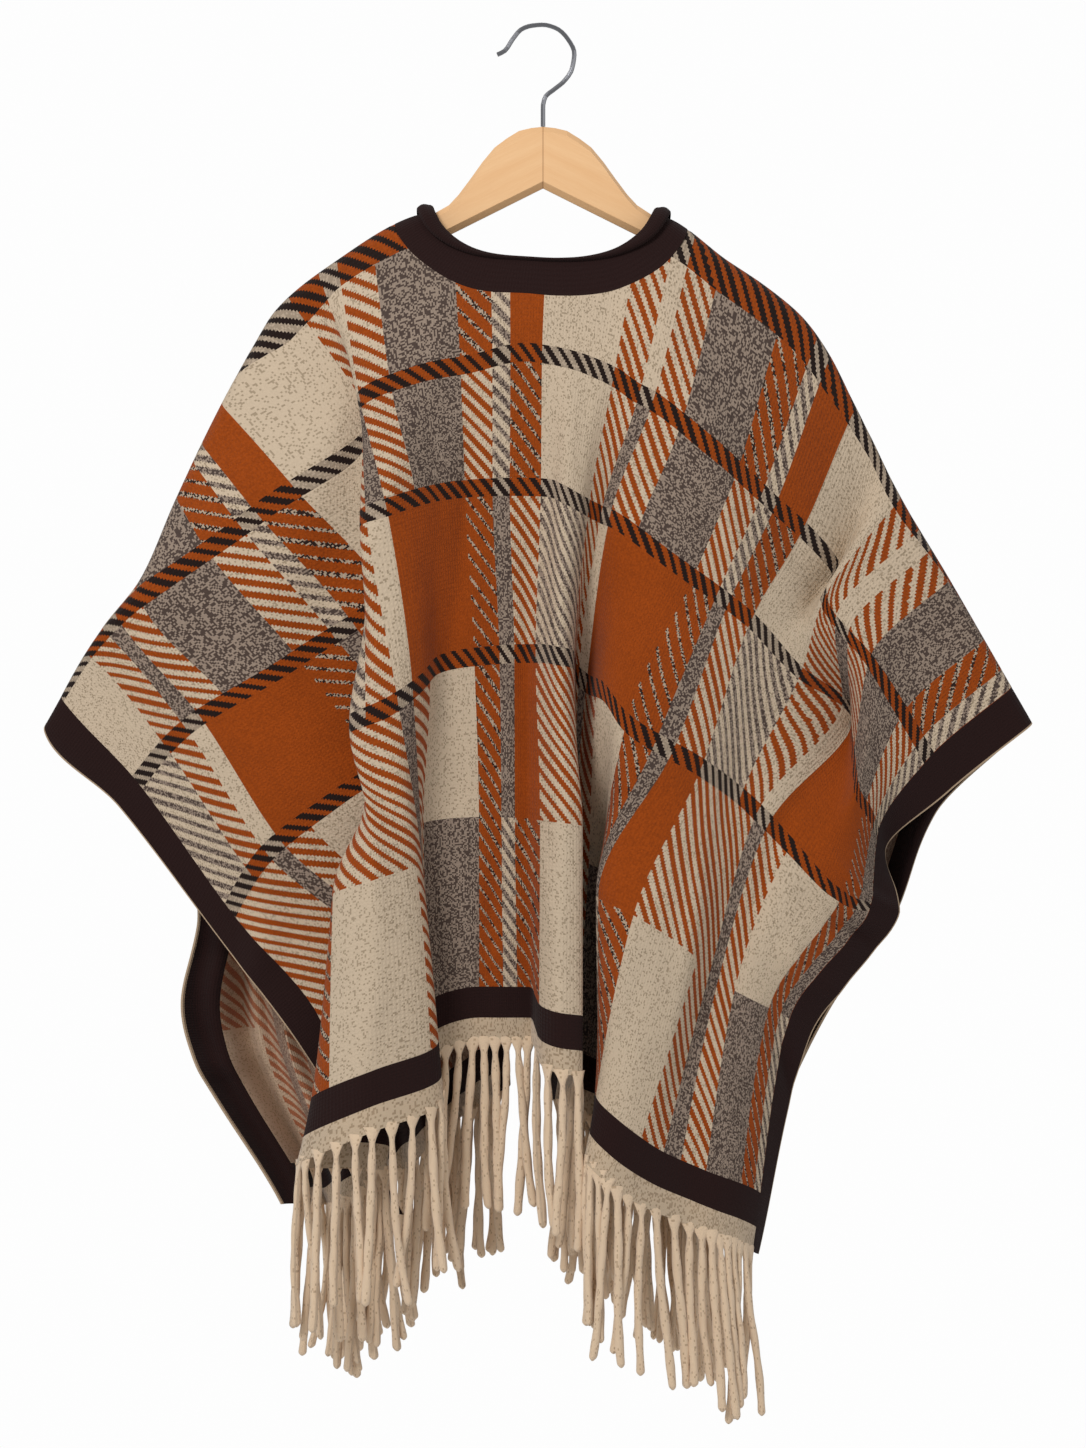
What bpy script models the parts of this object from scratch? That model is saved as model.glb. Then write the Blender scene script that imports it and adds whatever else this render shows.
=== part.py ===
"""A fringed open-front poncho (ruana) on a wooden clothes hanger, seen from its back.

The cloth is one flat piece, 1236 mm wide, folded over the shoulders. Every panel, band and
fringe is a wall made from two surface functions, back() and front(), which turn a place in the
flat cut (u across, v down from the shoulder fold) into a place in space.
Origin: the inside of the hook's top. +X is the viewer's right, +Z up, the viewer at -Y.
"""

import math

import bmesh
import bpy
import numpy as np

# Flat sizes of the cut, in millimetres
HALF_WIDTH = 618.0
LENGTH = 705.0
SIDE_BAND = 40.0
HEM_TOP = 655.0
HEM_BOTTOM = 684.0
NECK_HALF_WIDTH = 98.0
BACK_NECK_DEPTH = 50.0
FRONT_NECK_DEPTH = 63.0
NECK_BAND = 27.0
WALL = 2.0
SEAM = 0.3
STRIP_GAP = 2.6
FRINGE_LENGTH = 145.0
FRONT_FRINGE_LENGTH = 128.0
STRAND_THICKNESS = 5.0
STRAND_PITCH = 14.5
FOLD_ROWS = (-12.0, -4.0, 1.0, 6.0, 14.0)
CLOSEST_ROW = 3.0
BACK_ROWS = 14
FRONT_ROWS = 7

# Folding over the hanger, and where the picture's eye stands
FOLD_RADIUS = 9.0
FOLD_FADE = 40.0
EYE_DISTANCE = 2700.0
EYE_HEIGHT = -578.0

# Flat v of the sections that the back's fold table gives
BACK_SECTIONS = (124.0, 234.0, 368.0, 498.0, LENGTH)
FRONT_SECTIONS = (124.0, 368.0, 470.0, LENGTH)

# The fold line over the shoulders: flat u, flat v, across, down (mm in the hanger's plane)
SHOULDER_FOLD = (
    (-618, 118, -408, -577),
    (-492, 115, -364, -500),
    (-447, 106, -332, -459),
    (-384, 66, -302, -390),
    (-300, 37, -266, -314),
    (-257, 10, -237, -261),
    (-232, 0, -222, -237),
    (-178, 0, -175, -198),
    (-98, 0, -94, -155),
    (0, 0, 0, -149),
    (98, 0, 95, -157),
    (166, 0, 153, -195),
    (208, 0, 187, -218),
    (241, 0, 215, -242),
    (274, 0, 235, -270),
    (306, 5, 255, -310),
    (388, 12, 294, -388),
    (462, 21, 335, -457),
    (525, 27, 364, -507),
    (618, 33, 405, -578),
)

# One row a fold of the back: its name, then (flat u, across, down, depth) at each section
BACK_FOLDS = (
    ("left_edge", (-618, -408, -582, 0), (-618, -351, -647, -12), (-618, -270, -754, -25),
     (-618, -202, -845, -40), (-618, -115, -986, -10)),
    ("left_mid", (-498, -363, -509, -18), (-498, -300, -586, -25), (-498, -233, -690, -35),
     (-531, -159, -808, -45), (-531, -168, -976, -25)),
    ("left_in", (-332, -235, -405, -34), (-384, -205, -525, -38), (-415, -170, -639, -42),
     (-465, -123, -770, -35), (-481, -148, -965, -42)),
    ("pleat_under", (-212, -144, -333, -40), (-266, -119, -455, -36), (-324, -98, -592, -30),
     (-390, -94, -737, -22), (-432, -131, -950, -50)),
    ("pleat_left", (-176, -152, -313, -60), (-199, -151, -409, -84), (-237, -160, -579, -96),
     (-303, -174, -719, -100), (-340, -204, -945, -78)),
    ("pleat_crest", (-158, -141, -303, -66), (-170, -129, -399, -92), (-199, -129, -565, -110),
     (-257, -140, -706, -116), (-266, -144, -918, -116)),
    ("pleat_right", (-137, -121, -295, -62), (-137, -102, -390, -78), (-158, -101, -544, -88),
     (-208, -104, -691, -94), (-199, -83, -891, -86)),
    ("recess_left", (-108, -94, -287, -56), (-108, -84, -386, -64), (-124, -87, -529, -62),
     (-149, -101, -660, -60), (-149, -94, -859, -58)),
    ("recess", (-71, -61, -281, -50), (-71, -59, -383, -54), (-81, -58, -523, -54),
     (-81, -54, -654, -50), (-81, -54, -841, -46)),
    ("centre", (-13, -15, -271, -47), (-13, -16, -382, -50), (-13, -15, -520, -50),
     (-13, -14, -655, -48), (-8, -9, -841, -44)),
    ("narrow_left", (17, 8, -274, -48), (17, 6, -383, -56), (17, 0, -520, -64),
     (8, 0, -657, -68), (7, -2, -861, -74)),
    ("narrow_crest", (44, 29, -279, -50), (42, 17, -388, -66), (46, 12, -522, -80),
     (29, 17, -659, -86), (29, 16, -869, -88)),
    ("narrow_right", (66, 45, -285, -52), (66, 29, -395, -64), (73, 24, -525, -70),
     (53, 32, -662, -78), (51, 32, -871, -80)),
    ("deep_left", (91, 62, -293, -54), (93, 40, -401, -50), (106, 27, -535, -34),
     (124, 24, -683, -8), (137, 16, -891, 4)),
    ("deep_right", (112, 77, -304, -56), (112, 47, -404, -50), (133, 37, -545, -34),
     (195, 52, -701, -4), (228, 56, -914, 6)),
    ("wide_left", (130, 90, -311, -58), (133, 57, -408, -60), (170, 49, -550, -70),
     (266, 45, -719, -76), (320, 35, -939, -84)),
    ("wide_crest", (191, 140, -351, -60), (191, 104, -442, -68), (222, 69, -577, -86),
     (311, 78, -737, -92), (365, 52, -959, -96)),
    ("right_mid", (266, 187, -393, -52), (306, 171, -492, -52), (306, 130, -614, -72),
     (382, 124, -768, -74), (415, 85, -980, -82)),
    ("right_valley", (320, 223, -426, -30), (388, 212, -535, -40), (388, 163, -638, -52),
     (423, 140, -786, -52), (452, 120, -994, -62)),
    ("flap_under", (347, 242, -452, -8), (432, 256, -571, -2), (452, 197, -671, -48),
     (462, 159, -798, -55), (490, 143, -1003, -56)),
    ("flap_lip", (388, 232, -474, -40), (498, 260, -633, -44), (510, 240, -716, -42),
     (510, 182, -810, -48), (531, 159, -1009, -50)),
    ("flap_crest", (465, 270, -527, -36), (540, 270, -652, -34), (556, 259, -727, -30),
     (564, 199, -818, -36), (573, 172, -1015, -34)),
    ("right_edge", (618, 335, -635, -8), (618, 283, -685, 4), (618, 295, -733, -4),
     (618, 221, -838, -18), (618, 178, -1018, -12)),
)

# One row a fold of the two fronts, from the left side edge to the right one
LEFT_FRONT_FOLDS = (
    ("side", (-618, -326, -642, 30), (-618, -287, -740, 45),
     (-618, -300, -811, 30), (-618, -217, -977, 30)),
    ("side_in", (-578, -318, -618, 34), (-578, -257, -737, 52),
     (-578, -268, -811, 50), (-578, -190, -978, 48)),
    ("side_crest", (-540, -308, -588, 45), (-540, -241, -729, 80),
     (-540, -244, -808, 78), (-540, -178, -978, 95)),
    ("outer_valley", (-448, -289, -530, 30), (-448, -214, -708, 35),
     (-448, -210, -792, 33), (-448, -159, -969, 25)),
    ("outer_crest", (-357, -256, -476, 50), (-357, -181, -683, 85),
     (-357, -170, -770, 90), (-357, -135, -961, 100)),
    ("mid_valley", (-266, -210, -417, 35), (-266, -148, -650, 35),
     (-266, -134, -740, 34), (-266, -106, -940, 28)),
    ("inner_crest", (-174, -160, -355, 50), (-174, -110, -617, 80),
     (-174, -99, -712, 87), (-174, -81, -915, 98)),
    ("inner_valley", (-91, -102, -289, 35), (-91, -73, -588, 40),
     (-91, -66, -688, 38), (-91, -54, -895, 30)),
    ("front_edge", (0, -36, -264, 30), (0, -37, -559, 55), (0, -35, -661, 57), (0, -27, -878, 60)),
)
RIGHT_FRONT_FOLDS = (
    ("front_edge", (0, 31, -264, 30), (0, 39, -559, 55), (0, 33, -663, 57), (0, 2, -886, 60)),
    ("inner_valley", (91, 101, -289, 35), (91, 76, -583, 40), (91, 63, -686, 38), (91, 31, -907, 30)),
    ("inner_crest", (174, 159, -343, 45), (174, 114, -613, 80), (174, 95, -713, 86), (174, 57, -932, 95)),
    ("mid_valley", (266, 209, -401, 35), (266, 151, -642, 35), (266, 126, -738, 33), (266, 82, -957, 25)),
    ("outer_crest", (357, 255, -463, 45), (357, 188, -671, 80),
     (357, 157, -764, 84), (357, 105, -974, 95)),
    ("outer_valley", (448, 288, -530, 28), (448, 222, -700, 35),
     (448, 183, -786, 33), (448, 122, -986, 25)),
    ("side_crest", (540, 309, -596, 30), (540, 256, -729, 75),
     (540, 207, -805, 70), (540, 134, -997, 88)),
    ("side", (618, 325, -654, 15), (618, 290, -742, 30), (618, 238, -812, 29), (618, 152, -1000, 25)),
)

# The hanger's wood, and its upper outline where it shows: x, z
WOOD_HALF_THICKNESS = 6.0
WOOD_CHAMFER = 5.0
WOOD_UNDER_CLOTH = 2.3
WOOD_END = 216.0
WOOD_NOTCH = -134.0
WOOD_SLOPE = 0.5
WOOD_LEAST_DEPTH = 15.0
WOOD_END_ROUND = 12.0
WOOD_TOP = (
    (0, -83), (16, -85), (29, -92), (41, -101), (50, -112), (60, -126), (68, -137), (78, -148),
)
HOOK_RADIUS = 1.9
HOOK_LINE = (
    (-38, -23), (-32, -20), (-25, -10), (-18, -2), (-10, 1), (0, 1.9), (11, -1), (20, -9),
    (26, -22), (24, -35), (17.5, -45), (9, -52), (2, -58), (0, -66), (0, -74), (0, -82.6),
)

# Paints: colour, roughness, metallic
PAINTS = {
    "plaid": ((0.35, 0.14, 0.05), 0.9, 0.0),
    "trim": ((0.028, 0.012, 0.012), 0.9, 0.0),
    "yarn": ((0.55, 0.41, 0.29), 0.9, 0.0),
    "wood": ((0.80, 0.50, 0.24), 0.45, 0.0),
    "chrome": ((0.75, 0.75, 0.77), 0.15, 1.0),
}


def clear_scene():
    for old in list(bpy.data.objects):
        bpy.data.objects.remove(old, do_unlink=True)


def paint(name):
    colour, roughness, metallic = PAINTS[name]
    material = bpy.data.materials.new(name)
    material.use_nodes = True
    shader = material.node_tree.nodes["Principled BSDF"]
    shader.inputs["Base Color"].default_value = (*colour, 1.0)
    shader.inputs["Roughness"].default_value = roughness
    shader.inputs["Metallic"].default_value = metallic
    return material


def smooth_through(stops, values, at):
    """A curve through the values that never swings past them (monotone cubic)."""
    stops = np.asarray(stops, float)
    values = np.asarray(values, float)
    step = np.diff(stops)
    slope = np.diff(values, axis=0) / step[:, None]
    tangent = np.zeros_like(values)
    product = slope[:-1] * slope[1:]
    weight_a = (2 * step[1:] + step[:-1])[:, None]
    weight_b = (step[1:] + 2 * step[:-1])[:, None]
    safe = np.where(product > 0, slope[:-1], 1.0)
    safe_next = np.where(product > 0, slope[1:], 1.0)
    mean = (weight_a + weight_b) / (weight_a / safe + weight_b / safe_next)
    tangent[1:-1] = np.where(product > 0, mean, 0.0)
    tangent[0] = slope[0]
    tangent[-1] = slope[-1]
    at = min(max(at, stops[0]), stops[-1])
    k = min(int(np.searchsorted(stops, at, side="right")) - 1, len(step) - 1)
    t = (at - stops[k]) / step[k]
    ease_a = (1 + 2 * t) * (1 - t) ** 2
    ease_b = t * t * (3 - 2 * t)
    pull_a = t * (1 - t) ** 2 * step[k]
    pull_b = t * t * (t - 1) * step[k]
    return (ease_a * values[k] + ease_b * values[k + 1]
            + pull_a * tangent[k] + pull_b * tangent[k + 1])


def from_the_eye(across, down, depth):
    """A place seen at (across, down) on the hanger's plane, moved to its own depth."""
    nearer = 1.0 + depth / EYE_DISTANCE
    return (across * nearer, depth, EYE_HEIGHT + (down - EYE_HEIGHT) * nearer)


def section_curve(folds, index):
    """The fold table's section as stops along u and places in space."""
    rows = [row[1 + index] for row in folds]
    return [row[0] for row in rows], [from_the_eye(*row[1:]) for row in rows]


BACK_CURVES = [section_curve(BACK_FOLDS, k) for k in range(len(BACK_SECTIONS))]
FRONT_CURVES = {
    -1: [section_curve(LEFT_FRONT_FOLDS, k) for k in range(len(FRONT_SECTIONS))],
    1: [section_curve(RIGHT_FRONT_FOLDS, k) for k in range(len(FRONT_SECTIONS))],
}
FOLD_STOPS = [row[0] for row in SHOULDER_FOLD]
FOLD_PLACES = [(across, 0.0, down, v) for _, v, across, down in SHOULDER_FOLD]


def shoulder(u):
    """The fold line over the shoulders at u: its place, its flat v and the way down from it."""
    here = smooth_through(FOLD_STOPS, FOLD_PLACES, u)
    before = smooth_through(FOLD_STOPS, FOLD_PLACES, u - 4)
    after = smooth_through(FOLD_STOPS, FOLD_PLACES, u + 4)
    along = after[:3] - before[:3]
    along /= np.linalg.norm(along)
    return here[:3], here[3], np.array((along[2], 0.0, -along[0]))


def hung(u, distance, stops, places, side):
    """A place this far below the fold, through the sections' places, rounded over the fold."""
    top, _, inward = shoulder(u)
    place = smooth_through([0.0, *stops], [top, *places], distance)
    quarter = FOLD_RADIUS * math.pi / 2
    if distance < quarter:
        angle = distance / FOLD_RADIUS
        out = FOLD_RADIUS * math.sin(angle)
        back_up = distance - FOLD_RADIUS * (1 - math.cos(angle))
    else:
        fade = math.exp(-(distance - quarter) / FOLD_FADE)
        out = FOLD_RADIUS * fade ** 0.2
        back_up = (quarter - FOLD_RADIUS) * fade
    place = place - inward * back_up
    place[1] += side * out
    return place


def back(u, v):
    """The back's middle surface; above the fold line it runs over onto the far side."""
    _, fold_v, _ = shoulder(u)
    if v < fold_v:
        return front(u, -v)
    stops = [section - fold_v for section in BACK_SECTIONS]
    places = [smooth_through(*curve, u) for curve in BACK_CURVES]
    return hung(u, v - fold_v, stops, places, -1.0)


def front(u, v):
    """The two fronts' middle surface, parted at u = 0."""
    _, fold_v, _ = shoulder(u)
    stops = [section + fold_v for section in FRONT_SECTIONS]
    curves = FRONT_CURVES[1 if u > 0 else -1]
    places = [smooth_through(*curve, u) for curve in curves]
    return hung(u, v + fold_v, stops, places, 1.0)


def normal_at(surface, u, v):
    side = 1.5
    bound = HALF_WIDTH
    across = surface(min(u + side, bound), v) - surface(max(u - side, -bound), v)
    down = surface(u, v + side) - surface(u, v - side)
    normal = np.cross(across, down)
    return normal / np.linalg.norm(normal)


def new_object(name, vertices, faces, paint_name):
    mesh = bpy.data.meshes.new(name)
    mesh.from_pydata([tuple(c / 1000.0 for c in point) for point in vertices], [], faces)
    shape = bmesh.new()
    shape.from_mesh(mesh)
    bmesh.ops.recalc_face_normals(shape, faces=shape.faces)
    if shape.calc_volume(signed=True) < 0:
        bmesh.ops.reverse_faces(shape, faces=shape.faces)
    shape.to_mesh(mesh)
    shape.free()
    mesh.shade_smooth()
    mesh.set_sharp_from_angle(angle=math.radians(50))
    mesh.materials.append(MATERIALS[paint_name])
    made = bpy.data.objects.new(name, mesh)
    bpy.context.scene.collection.objects.link(made)
    return made


def wall_between(name, surface, places, paint_name):
    """A closed wall over a grid of flat places, places[i][j] = (u, v)."""
    columns = len(places)
    rows = len(places[0])
    vertices = []
    for column in places:
        for u, v in column:
            middle = surface(u, v)
            offset = normal_at(surface, u, v) * WALL / 2
            vertices.append(middle + offset)
            vertices.append(middle - offset)

    def corner(i, j, face):
        return 2 * (i * rows + j) + face

    faces = []
    for i in range(columns - 1):
        for j in range(rows - 1):
            for face in (0, 1):
                faces.append([corner(i, j, face), corner(i + 1, j, face),
                              corner(i + 1, j + 1, face), corner(i, j + 1, face)])
    for i in range(columns - 1):
        for j in (0, rows - 1):
            faces.append([corner(i, j, 0), corner(i + 1, j, 0), corner(i + 1, j, 1), corner(i, j, 1)])
    for j in range(rows - 1):
        for i in (0, columns - 1):
            faces.append([corner(i, j, 0), corner(i, j + 1, 0), corner(i, j + 1, 1), corner(i, j, 1)])
    return new_object(name, vertices, faces, paint_name)


def spaced(start, end, count):
    return [start + (end - start) * k / (count - 1) for k in range(count)]


def neck_line(u, half_width, depth):
    """How far down the neck's oval cut reaches at u."""
    if abs(u) >= half_width:
        return 0.0
    return depth * math.sqrt(1 - (u / half_width) ** 2)


def panel(name, surface, us, neck_depth, rows, paint_name):
    """Cloth from the neck or shoulder down to the hem band."""
    half = NECK_HALF_WIDTH + NECK_BAND
    places = []
    for u in us:
        start = neck_line(u, half, neck_depth + NECK_BAND) + SEAM
        fold_v = shoulder(u)[1] if surface is back else 0.0
        places.append([(u, v) for v in rows_over_fold(start, fold_v, rows)])
    return wall_between(name, surface, places, paint_name)


def rows_over_fold(start, fold_v, count):
    """Rows down a column, close together where the cloth turns over its fold line."""
    rows = [start]
    for v in [(start + fold_v) / 2] + [fold_v + beyond for beyond in FOLD_ROWS]:
        rows.append(max(v, rows[-1] + CLOSEST_ROW))
    return rows + spaced(rows[-1], HEM_TOP - SEAM, count)[1:]


def side_band(name, side):
    """The dark band down one side, from the back's hem over the shoulder to the front's."""
    outer = side * HALF_WIDTH
    inner = side * (HALF_WIDTH - SIDE_BAND + SEAM)
    us = spaced(inner, outer, 3)

    def whole(u, w):
        return back(u, w) if w > 0 else front(u, -w)

    turn = shoulder(inner)[1]
    back_rows = rows_over_fold(SEAM, turn, BACK_ROWS) + [HEM_BOTTOM, LENGTH]
    front_rows = rows_over_fold(SEAM, 0.0, FRONT_ROWS) + [HEM_BOTTOM, LENGTH]
    ws = [-v for v in reversed(front_rows)] + back_rows
    places = [[(u, w) for w in ws] for u in us]
    return wall_between(name, whole, places, "trim")


def hem_band(name, surface, us):
    places = [[(u, HEM_TOP + SEAM), (u, HEM_BOTTOM - SEAM)] for u in us]
    return wall_between(name, surface, places, "trim")


def neck_pair(u, depth):
    """A neck band's two edges at u: on the neck's cut, and on the cloth's oval beside it."""
    half = NECK_HALF_WIDTH + NECK_BAND
    turn = math.asin(u / half)
    inner = (NECK_HALF_WIDTH * math.sin(turn), depth * math.cos(turn))
    return [inner, (u, neck_line(u, half, depth + NECK_BAND) - SEAM)]


def neck_band():
    """The dark band round the back of the neck, from shoulder to shoulder."""
    half = NECK_HALF_WIDTH + NECK_BAND
    places = [neck_pair(u, BACK_NECK_DEPTH) for u in BACK_US if abs(u) < half]
    return wall_between("neck_band", back, places, "trim")


def front_band(name, side):
    """The dark band from the shoulder round the front neck and down the front edge."""
    half = NECK_HALF_WIDTH + NECK_BAND
    full = NECK_BAND - SEAM
    round_neck = [u for u in reversed(FRONT_US) if u < half]
    places = [neck_pair(side * u, FRONT_NECK_DEPTH) for u in round_neck[:-1]]
    corner = neck_line(FRONT_INNER, half, FRONT_NECK_DEPTH + NECK_BAND)
    places.append([neck_pair(side * full, FRONT_NECK_DEPTH)[0], (side * full, corner - SEAM)])
    for v in rows_over_fold(corner + SEAM, 0.0, FRONT_ROWS) + [LENGTH]:
        places.append([(side * SEAM, v), (side * full, v)])
    return wall_between(name, front, places, "trim")


def fringe(name, surface, start, end, length):
    """The cream strip below the hem band, with strands drawn out of its lower edge."""
    count = int(abs(end - start) / STRAND_PITCH)
    pitch = (end - start) / count
    half = abs(pitch) * 0.19
    top = HEM_BOTTOM + STRIP_GAP
    us = [start]
    for k in range(count):
        centre = start + pitch * (k + 0.5)
        us += [centre - math.copysign(half, pitch), centre + math.copysign(half, pitch)]
    us.append(end)
    vertices = []
    faces = []
    for u in us:
        for v in (top, LENGTH):
            middle = surface(u, v)
            offset = normal_at(surface, u, min(v, LENGTH - 3)) * WALL / 2
            vertices += [middle + offset, middle - offset]

    def corner(i, row, face):
        return 4 * i + 2 * row + face

    last = len(us) - 1
    for i in range(last):
        for face in (0, 1):
            faces.append([corner(i, 0, face), corner(i + 1, 0, face),
                          corner(i + 1, 1, face), corner(i, 1, face)])
        faces.append([corner(i, 0, 0), corner(i + 1, 0, 0), corner(i + 1, 0, 1), corner(i, 0, 1)])
        ring = [corner(i, 1, 0), corner(i + 1, 1, 0), corner(i + 1, 1, 1), corner(i, 1, 1)]
        if i % 2 == 0:
            faces.append(ring)
            continue
        corners = [vertices[k] for k in ring]
        centre = sum(corners) / 4
        along = corners[1] - corners[0]
        along[2] = 0
        along /= np.linalg.norm(along)
        out = np.array((-along[1], along[0], 0.0))
        if np.dot(out, corners[0] - corners[3]) < 0:
            out = -out
        drop = length * (1 + 0.06 * math.sin(i * 2.4) + 0.04 * math.sin(i * 0.7))
        for part in (0.12, 0.55, 1.0):
            width = STRAND_THICKNESS * (0.5 if part < 1 else 0.3)
            sway = 5.0 * part * math.sin(i * 1.7)
            lower = centre + np.array((sway, 0.0, -drop * part))
            base = len(vertices)
            vertices += [lower - along * width + out * width, lower + along * width + out * width,
                         lower + along * width - out * width, lower - along * width - out * width]
            new_ring = [base, base + 1, base + 2, base + 3]
            for k in range(4):
                m = (k + 1) % 4
                faces.append([ring[k], ring[m], new_ring[m], new_ring[k]])
            ring = new_ring
        faces.append(ring)
    for i in (0, last):
        faces.append([corner(i, 0, 0), corner(i, 1, 0), corner(i, 1, 1), corner(i, 0, 1)])
    return new_object(name, vertices, faces, "yarn")


def wood_top(x):
    """The wood's upper outline: its own shoulder curve, then just under the cloth's fold."""
    reach = abs(x)
    if reach <= WOOD_TOP[-1][0]:
        return smooth_through([row[0] for row in WOOD_TOP], [[row[1]] for row in WOOD_TOP], reach)[0]
    rows = [row for row in SHOULDER_FOLD if 98 <= row[0] * math.copysign(1, x) <= 306]
    rows.sort(key=lambda row: abs(row[2]))
    fold = smooth_through([abs(row[2]) for row in rows], [[row[3]] for row in rows], reach)
    return fold[0] - WOOD_UNDER_CLOTH


def hanger_wood():
    """One flat bow of wood: a chamfered section carried from end to end."""
    vertices = []
    faces = []
    half_xs = [0, 10, 20, 30, 40, 50, 60, 70, 78, 98, 120, 145, 170, 190, 203, 211, WOOD_END]
    xs = [-x for x in reversed(half_xs[1:])] + half_xs
    for x in xs:
        reach = abs(x)
        high = wood_top(x)
        low = min(WOOD_NOTCH - WOOD_SLOPE * reach, high - WOOD_LEAST_DEPTH)
        to_end = WOOD_END - reach
        if to_end < WOOD_END_ROUND:
            shrink = (1 - to_end / WOOD_END_ROUND) ** 2 * 0.62
            middle = (high + low) / 2
            high = high + (middle - high) * shrink
            low = low + (middle - low) * shrink
        t = WOOD_HALF_THICKNESS
        c = WOOD_CHAMFER
        section = ((t - c, high), (t, high - c), (t, low + c), (t - c, low),
                   (c - t, low), (-t, low + c), (-t, high - c), (c - t, high))
        vertices += [(x, y, z) for y, z in section]
    for i in range(len(xs) - 1):
        for k in range(8):
            m = (k + 1) % 8
            faces.append([8 * i + k, 8 * i + m, 8 * i + 8 + m, 8 * i + 8 + k])
    end = 8 * (len(xs) - 1)
    faces.append(list(range(8)))
    faces.append([end + k for k in range(8)])
    return new_object("hanger_wood", [np.array(p) for p in vertices], faces, "wood")


def hook():
    """A bent wire with its own round section."""
    reach = [0.0]
    for a, b in zip(HOOK_LINE, HOOK_LINE[1:]):
        reach.append(reach[-1] + math.dist(a, b))
    curve = bpy.data.curves.new("hook", "CURVE")
    curve.dimensions = "3D"
    curve.bevel_depth = HOOK_RADIUS / 1000
    curve.bevel_resolution = 2
    curve.use_fill_caps = True
    spline = curve.splines.new("POLY")
    count = 44
    spline.points.add(count - 1)
    for k, point in enumerate(spline.points):
        x, z = smooth_through(reach, HOOK_LINE, reach[-1] * k / (count - 1))
        point.co = (x / 1000, 0.0, z / 1000, 1.0)
    made = bpy.data.objects.new("hook", curve)
    curve.materials.append(MATERIALS["chrome"])
    bpy.context.scene.collection.objects.link(made)
    return made


def fold_stops(limit, count):
    """Even places across the cloth, with closer ones at the neck's corners."""
    corners = [-124, -119, -110, 110, 119, 124]
    even = spaced(-limit, limit, count)
    kept = [u for u in even if min(abs(u - c) for c in corners) > 5]
    return sorted(kept + corners)


clear_scene()
MATERIALS = {name: paint(name) for name in PAINTS}
INNER = HALF_WIDTH - SIDE_BAND - SEAM
BACK_US = fold_stops(INNER, 55)
FRONT_INNER = NECK_BAND + SEAM
FRONT_US = [FRONT_INNER] + [u for u in BACK_US if u > FRONT_INNER + 5]

panel("back_panel", back, BACK_US, BACK_NECK_DEPTH, BACK_ROWS, "plaid")
hem_band("hem_band_back", back, BACK_US)
fringe("fringe_back", back, -HALF_WIDTH + SIDE_BAND + 1, HALF_WIDTH - SIDE_BAND - 1, FRINGE_LENGTH)
neck_band()
for word, sign in (("left", -1), ("right", 1)):
    places = [sign * u for u in FRONT_US]
    panel("front_panel_" + word, front, places, FRONT_NECK_DEPTH, FRONT_ROWS, "plaid")
    hem_band("hem_band_front_" + word, front, places)
    fringe("fringe_front_" + word, front, sign * (FRONT_INNER + 1), sign * (INNER - 1), FRONT_FRINGE_LENGTH)
    side_band("side_band_" + word, sign)
    front_band("front_band_" + word, sign)
hanger_wood()
hook()
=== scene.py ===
"""The look of a fringed plaid poncho on a wooden hanger, seen from its back."""

import math

import bpy
import numpy as np
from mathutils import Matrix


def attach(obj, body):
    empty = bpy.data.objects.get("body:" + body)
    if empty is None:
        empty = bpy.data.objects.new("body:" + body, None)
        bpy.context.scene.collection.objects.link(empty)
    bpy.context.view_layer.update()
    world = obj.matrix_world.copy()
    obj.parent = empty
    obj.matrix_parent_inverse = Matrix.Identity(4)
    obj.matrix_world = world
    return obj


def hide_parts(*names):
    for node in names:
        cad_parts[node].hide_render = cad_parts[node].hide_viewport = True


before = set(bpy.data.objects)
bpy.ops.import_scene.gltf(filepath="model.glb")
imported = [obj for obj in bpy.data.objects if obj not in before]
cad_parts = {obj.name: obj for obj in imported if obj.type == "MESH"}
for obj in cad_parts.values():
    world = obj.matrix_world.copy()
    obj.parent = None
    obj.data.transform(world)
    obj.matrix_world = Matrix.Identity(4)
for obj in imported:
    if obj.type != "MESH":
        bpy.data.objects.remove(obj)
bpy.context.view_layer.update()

# Flat sizes of the cut, in millimetres
HALF_WIDTH = 618.0
LENGTH = 705.0
SIDE_BAND = 40.0
HEM_TOP = 655.0
HEM_BOTTOM = 684.0
NECK_HALF_WIDTH = 98.0
BACK_NECK_DEPTH = 50.0
FRONT_NECK_DEPTH = 63.0
NECK_BAND = 27.0
WALL = 2.0
SEAM = 0.02
STRAND_PITCH = 14.5

# The knit, in millimetres: its blocks of one colour, its flecks, its diagonal stripes and lines,
# the ribs across and along it, the border's ribs and pale edge, the yarn's flecks; then its shine
STITCH = 1.9
FLECK = 1.3
STRIPE = 13.8
LINE = 16.1
WALE = 3.1
COURSE = 3.4
TRIM_RIB = 3.0
TRIM_EDGE_WIDTH = 1.6
YARN_FLECK = (1.3, 1.8)
SHEEN_ROUGHNESS = 0.6
DULL_SPECULAR = 0.08

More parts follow.
